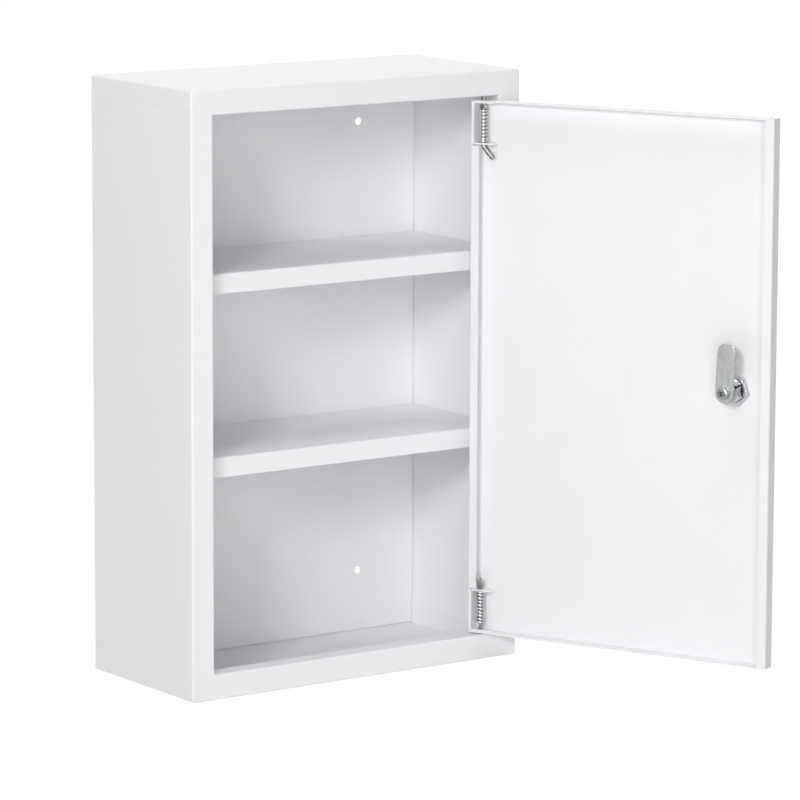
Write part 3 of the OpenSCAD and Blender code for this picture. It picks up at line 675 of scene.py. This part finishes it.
outline = [(BORE_R, FACE_OUT)]
outline += [(FACE_R - inwards, FACE_OUT + back) for inwards, back in FACE_RIM]
outline += [(FACE_R, -FACE_BACK_EDGE), (FACE_R - FACE_BACK_EDGE, 0),
            (BARREL_R, 0), (BARREL_R, THREAD_FROM)]
ridge = THREAD_FROM
while ridge + THREAD < BARREL_END - THREAD_STOP:
    crest = ridge + THREAD
    outline += [(BARREL_R - THREAD_DEPTH, ridge + THREAD / 2),
                (BARREL_R, crest - THREAD_CREST), (BARREL_R, crest)]
    ridge = crest
outline += [(BARREL_R - BARREL_EDGE, BARREL_END), (BORE_R + BORE_EDGE, BARREL_END),
            (BORE_R, BARREL_END - BORE_EDGE), (BORE_R, FACE_OUT)]
barrel = turned("lock_threaded_barrel", outline, sides=72, closed=True)
for side in (-1, 1):
    cut(barrel, block((MILL_T, MILL_L, BARREL_END + 1),
                      (side * (FLATS + MILL_T) / 2, 0, (BARREL_END + 1) / 2)))

start_on(None)
bpy.ops.mesh.primitive_cylinder_add(vertices=64, radius=NOTCH_CUTTER_R * MM,
                                    depth=2 * NOTCH_DEEP * MM, location=(0, 0, BARREL_END * MM))
notch = bpy.context.object
bpy.ops.object.transform_apply(location=True)
bpy.ops.object.mode_set(mode="EDIT")
for edge_angle, towards in ((NOTCH_FROM, 1), (NOTCH_TO, -1)):
    bearing = math.radians(edge_angle)
    bpy.ops.mesh.select_all(action="SELECT")
    bpy.ops.mesh.bisect(plane_co=(0, 0, 0), use_fill=True, clear_inner=True,
                        plane_no=(-towards * math.sin(bearing), towards * math.cos(bearing), 0))
bpy.ops.object.mode_set(mode="OBJECT")
cut(barrel, notch)
fit(barrel, at_lock, "door", bright_chrome, "lock_barrel")

# %% [markdown]
# ## The cam
# The cam is a stamped and zinc-plated arm with round ends and a square hole. The press
# leaves one softened edge all round, and that thin edge catches the light. A disc is
# split in two halves, the upper half is drawn up to make the arm, the outline gets its
# thickness, the edge is rounded, and the square hole is punched. Made so, each face of
# the arm is one flat surface, with no joint between a round end and a straight bar.

# %% Cam
CAM_W, CAM_REACH, CAM_T, CAM_FROM, SQUARE = 15.0, 30.4, 2.0, 18.2, 8.1
CAM_SIDES = 64

start_on(None)
# Half a step of turn puts no vertex on the line where the disc is split
bpy.ops.mesh.primitive_circle_add(vertices=CAM_SIDES, radius=CAM_W / 2 * MM, fill_type="NGON",
                                  location=(0, 0, CAM_FROM * MM),
                                  rotation=(0, 0, math.pi / CAM_SIDES))
cam = bpy.context.object
cam.name = "lock_stamped_cam"
bpy.ops.object.transform_apply(location=True, rotation=True)
pick(cam, lambda place: place.y > 0)
bpy.ops.transform.translate(value=(0, CAM_REACH * MM, 0))
bpy.ops.mesh.select_all(action="SELECT")
bpy.ops.mesh.extrude_region_move(TRANSFORM_OT_translate={"value": (0, 0, CAM_T * MM)})
bpy.ops.mesh.select_all(action="SELECT")
bpy.ops.mesh.normals_make_consistent(inside=False)
bpy.ops.object.mode_set(mode="OBJECT")
soften(cam, width=0.35, above=60, segments=3)
cut(cam, block((SQUARE, SQUARE, 3 * CAM_T), (0, 0, CAM_FROM + CAM_T / 2)))
fit(cam, at_plug, "lock", zinc_plate, "lock_cam")

# %% [markdown]
# ## The washer under the screw
# A pressed washer lies between the cam and its screw. It is punched from sheet and
# tumbled, so its rim is softened, a little more on the side that shows. It is turned
# here, because an outline can give each side its own softness.

# %% Washer
SCREW_R = 2.5
WASHER_BORE_R, WASHER_R, WASHER_T, WASHER_FROM = SCREW_R + 0.1, 5.8, 0.8, 20.2
RIM_INSIDE, RIM_OUTSIDE = 0.2, 0.25
WASHER_TO = WASHER_FROM + WASHER_T
washer = turned("cam_pressed_washer", [
    (WASHER_BORE_R, WASHER_FROM), (WASHER_R - RIM_INSIDE, WASHER_FROM),
    (WASHER_R, WASHER_FROM + RIM_INSIDE), (WASHER_R, WASHER_TO - RIM_OUTSIDE),
    (WASHER_R - RIM_OUTSIDE, WASHER_TO), (WASHER_BORE_R, WASHER_TO), (WASHER_BORE_R, WASHER_FROM),
], sides=56, closed=True)
fit(washer, at_plug, "lock", zinc_plate, "cam_screw_washer")

# %% [markdown]
# ## The cam screw
# A pan-head screw with a cross recess holds the cam on the plug. The head is turned as
# a low dome on a short straight wall, a little fuller than an ellipse, as pan heads
# are. The cross is cut by two blocks that narrow towards the bottom.

# %% Screw
HEAD_R, HEAD_H, HEAD_FROM, SCREW_FROM = 4.75, 2.6, 21.0, 16.3
HEAD_WALL, HEAD_EDGE, DOME_FULLNESS = 0.9, 0.15, 0.8
DOME_STEPS = (15, 30, 45, 60, 75, 86)  # degrees up from the wall
# The recess: one arm's size and middle, how far it narrows, and its turn in degrees
RECESS, RECESS_MID = (5.8, 1.7, 2.8), HEAD_FROM + HEAD_H - 0.6
RECESS_NARROWS, RECESS_TURN = 0.55, -25

head = [
    (SCREW_R, SCREW_FROM), (SCREW_R, HEAD_FROM), (HEAD_R - HEAD_EDGE, HEAD_FROM),
    (HEAD_R, HEAD_FROM + HEAD_EDGE), (HEAD_R, HEAD_FROM + HEAD_WALL),
]
for lift in DOME_STEPS:
    rise = math.radians(lift)
    head.append((HEAD_R * math.cos(rise) ** DOME_FULLNESS,
                 HEAD_FROM + HEAD_WALL + (HEAD_H - HEAD_WALL) * math.sin(rise)))
screw = turned("cam_cross_screw", head, sides=48)


def recess_arm(turn):
    """One arm of the cross: a block that narrows downwards, so it fits the screwdriver."""
    arm = block(RECESS, (0, 0, RECESS_MID), turn)
    pick(arm, lambda place: place.z < RECESS_MID)
    bpy.ops.transform.resize(value=(RECESS_NARROWS, RECESS_NARROWS, 1), center_override=(0, 0, 0))
    bpy.ops.object.mode_set(mode="OBJECT")
    return arm


for quarter in (0, 90):
    cut(screw, recess_arm(math.radians(RECESS_TURN + quarter)))
fit(screw, at_plug, "lock", drawn_rod, "cam_screw")

# %% [markdown]
# ## The key
# The key is stamped from flat steel: a round bow with a hole for a ring, a shoulder
# that stops on the plug, and a blade with one V cut for each wafer. The parts are cut
# as blocks and a disc, joined, notched with a square bar that stands on its edge, and
# their edges broken. Booleans suit it, because a real key is cut too, and each of its
# sizes stays a number that can be changed.

# %% Key
BOW_R, BOW_T, BOW_Z, HOLE_R = 11.0, 2.2, -17.7, 2.5
SHOULDER_W, KEY_FACE = 9.0, -2.7
BLADE_H, BLADE_T, BLADE_END, TIP = 6.6, 1.8, 12.8, 2.0
# Where each cut lies along the blade, and how deep it is
KEY_CUTS = ((3.0, 0.7), (5.4, 1.3), (7.8, 0.5), (10.2, 1.1), (12.6, 0.9))
# The length and the side of the square bar that cuts them
BAR_L, BAR = 4, 6


def disc(radius, thick, height, sides):
    """A flat disc that stands on edge, its axis along X, in mm."""
    start_on(None)
    bpy.ops.mesh.primitive_cylinder_add(vertices=sides, radius=radius * MM, depth=thick * MM,
                                        location=(0, 0, height * MM),
                                        rotation=(0, math.pi / 2, 0))
    made = bpy.context.object
    bpy.ops.object.transform_apply(location=True, rotation=True)
    return made


def edgewise_bar(across, along):
    """A square bar along X that stands on its edge, its centre given in mm."""
    made = block((BAR_L, BAR, BAR), (0, 0, 0))
    made.location = (0, across * MM, along * MM)
    made.rotation_euler = (math.radians(45), 0, 0)
    start_on(made)
    bpy.ops.object.transform_apply(location=True, rotation=True)
    return made


key = disc(BOW_R, BOW_T, BOW_Z, sides=64)
key.name = "stamped_key"
shoulder = block((BOW_T, SHOULDER_W, KEY_FACE - BOW_Z), (0, 0, (KEY_FACE + BOW_Z) / 2))
cut(key, shoulder, "UNION")
cut(key, disc(HOLE_R, 3 * BOW_T, BOW_Z - BOW_R / 2, sides=32))
blade = block((BLADE_T, BLADE_H, BLADE_END - KEY_FACE + 1), (0, 0, (BLADE_END + KEY_FACE - 1) / 2))
# A flat side of the bar takes the blade's corner off, and then its edge makes each V
past_corner = BAR / 2 * math.sqrt(0.5) - TIP / 2
cut(blade, edgewise_bar(BLADE_H / 2 + past_corner, BLADE_END + past_corner))
half_diagonal = BAR / 2 * math.sqrt(2)
for along_blade, deep in KEY_CUTS:
    cut(blade, edgewise_bar(BLADE_H / 2 - deep + half_diagonal, along_blade))
cut(key, blade, "UNION")
soften(key, width=0.3, above=50)
fit(key, at_plug, "key", zinc_plate, "key")

# %% [markdown]
# ## The backdrop
# The real cabinet was photographed on white. A room that is really that white would
# light it from all sides and wash out every fold. So the backdrop is white only to the
# camera and to mirrors, and a very dim, slightly blue room to all other light.

# %% Backdrop
ROOM, ROOM_LEVEL = "#EDEBFF", 0.05

world = bpy.data.worlds.new("white_studio")
world.use_nodes = True
bpy.context.scene.world = world
sky = world.node_tree
sky.nodes.clear()
ray = add_node(sky, "ShaderNodeLightPath")
seen = add_node(sky, "ShaderNodeMath", {
    0: ray.outputs["Is Camera Ray"], 1: ray.outputs["Is Glossy Ray"],
}, operation="MAXIMUM")
room = add_node(sky, "ShaderNodeBackground", {"Color": linear(ROOM), "Strength": ROOM_LEVEL})
white = add_node(sky, "ShaderNodeBackground", {"Color": (1, 1, 1, 1), "Strength": 1.0})
both = add_node(sky, "ShaderNodeMixShader", {
    0: seen.outputs[0], 1: room.outputs[0], 2: white.outputs[0],
})
add_node(sky, "ShaderNodeOutputWorld", {"Surface": both.outputs[0]})
print("the backdrop is white to the camera and", ROOM_LEVEL, "to the cabinet")

# %% [markdown]
# ## The floor
# The cabinet stands on white paper. Matt paper near the lamps would still look grey, so
# most of what the camera sees of it is its own glow, and it is plain matt paper to the
# light that falls on the cabinet. What isn't glow keeps a hint of shadow next to the
# cabinet. Further out it fades to glow alone, and no horizon shows.

# %% Floor
FLOOR_SIZE, PAPER = 8, "#EDEDED"
# The glow's share next to the cabinet, where it starts to grow and where it is whole
GLOW_SHARE, GLOW_NEAR, GLOW_FAR, GLOW_LEVEL = 0.9, 0.5, 1.6, 1.06

bpy.ops.object.select_all(action="DESELECT")
bpy.ops.mesh.primitive_plane_add(size=FLOOR_SIZE, location=(0, 0, cad_box[0].z))
floor = bpy.context.object
floor.name = "studio_floor"
paper = bpy.data.materials.new("white_paper")
paper.use_nodes = True
tree = paper.node_tree
tree.nodes.clear()
ray = add_node(tree, "ShaderNodeLightPath")
seen = add_node(tree, "ShaderNodeMath", {
    0: ray.outputs["Is Camera Ray"], 1: ray.outputs["Is Glossy Ray"],
}, operation="MAXIMUM")
place = add_node(tree, "ShaderNodeTexCoord").outputs["Object"]
away = add_node(tree, "ShaderNodeVectorMath", {0: place}, operation="LENGTH").outputs["Value"]
glow = add_node(tree, "ShaderNodeMapRange", {
    "Value": away, "From Min": GLOW_NEAR, "From Max": GLOW_FAR, "To Min": GLOW_SHARE, "To Max": 1.0,
})
share = add_node(tree, "ShaderNodeMath", {
    0: seen.outputs[0], 1: glow.outputs[0],
}, operation="MULTIPLY")
matt = add_node(tree, "ShaderNodeBsdfDiffuse", {"Color": linear(PAPER)})
bright = add_node(tree, "ShaderNodeEmission", {"Color": (1, 1, 1, 1), "Strength": GLOW_LEVEL})
both = add_node(tree, "ShaderNodeMixShader", {
    0: share.outputs[0], 1: matt.outputs[0], 2: bright.outputs[0],
})
add_node(tree, "ShaderNodeOutputMaterial", {"Surface": both.outputs[0]})
floor.data.materials.append(paper)
print("floor at", round(1000 * cad_box[0].z, 1), "mm")

# %% [markdown]
# ## A dark flag
# Polished metal needs something dark to mirror, or it reads as white plastic. So a
# photographer hangs black flags round it. Here a wide panel of matt dark felt stands in
# front of the cabinet, behind the soft lights. Only mirrors see it: it throws no shadow,
# takes no light from the cabinet and isn't in the picture.

# %% Dark flag
FLAG_SIZE, FLAG_PLACE = 3.4, (-0.26, -3.3, 1.1)
FELT, FELT_ROUGH = "#2A2A2C", 0.9

bpy.ops.object.select_all(action="DESELECT")
bpy.ops.mesh.primitive_plane_add(size=FLAG_SIZE, location=FLAG_PLACE, rotation=(math.pi / 2, 0, 0))
flag = bpy.context.object
flag.name = "studio_flag"
felt = bpy.data.materials.new("dark_felt")
felt.use_nodes = True
shader = felt.node_tree.nodes["Principled BSDF"]
shader.inputs["Base Color"].default_value = linear(FELT)
shader.inputs["Roughness"].default_value = FELT_ROUGH
flag.data.materials.append(felt)
flag.visible_camera = flag.visible_diffuse = flag.visible_shadow = False
print("flag of", round(flag.dimensions.x, 2), "m")

# %% [markdown]
# ## Soft lights
# The real cabinet looks as if broad soft lights lit it, and these are the ones that
# came closest: one to the left of the camera and a little higher, one low and nearly
# in line with it, so that the light reaches the back of the shelves, and one straight
# above that whitens the top. A faint one from the right lifts the shade behind the
# hinges, and two more light the right side and the back, which this camera doesn't
# see. An area lamp stands for each soft box, because its size sets how soft the
# shadows are. The first is the smallest, so it throws the sharpest ones.

# %% Soft lights
# Degrees left of the front and up, metres away, size in metres, and watts
LAMPS = (
    ("key_light", 49, 20, 2.6, 0.5, 23.5),
    ("low_light", 29, 4, 2.6, 1.2, 20.0),
    ("front_fill", -24, 10, 2.6, 1.4, 3.0),
    ("top_light", 0, 88, 1.8, 1.4, 19.0),
    ("right_fill", -110, 12, 2.6, 1.4, 22),
    ("back_fill", 172, 12, 2.6, 1.4, 18),
)


def soft_light(name, turn, rise, distance, size, watts):
    """A square white soft box that faces the cabinet."""
    lamp = bpy.data.lights.new(name, "AREA")
    lamp.size = size
    lamp.energy = watts
    holder = bpy.data.objects.new(name, lamp)
    level = math.cos(rise)
    away = Vector((-math.sin(turn) * level, -math.cos(turn) * level, math.sin(rise)))
    holder.location = distance * away
    holder.rotation_euler = away.to_track_quat("Z", "Y").to_euler()
    holder.visible_camera = False  # the low one hangs close to the camera's line of sight
    bpy.context.scene.collection.objects.link(holder)


for name, turn, rise, *the_rest in LAMPS:
    soft_light(name, math.radians(turn), math.radians(rise), *the_rest)
bpy.context.scene.view_settings.view_transform = "Standard"
print("lamps:", [name for name, *_ in LAMPS])
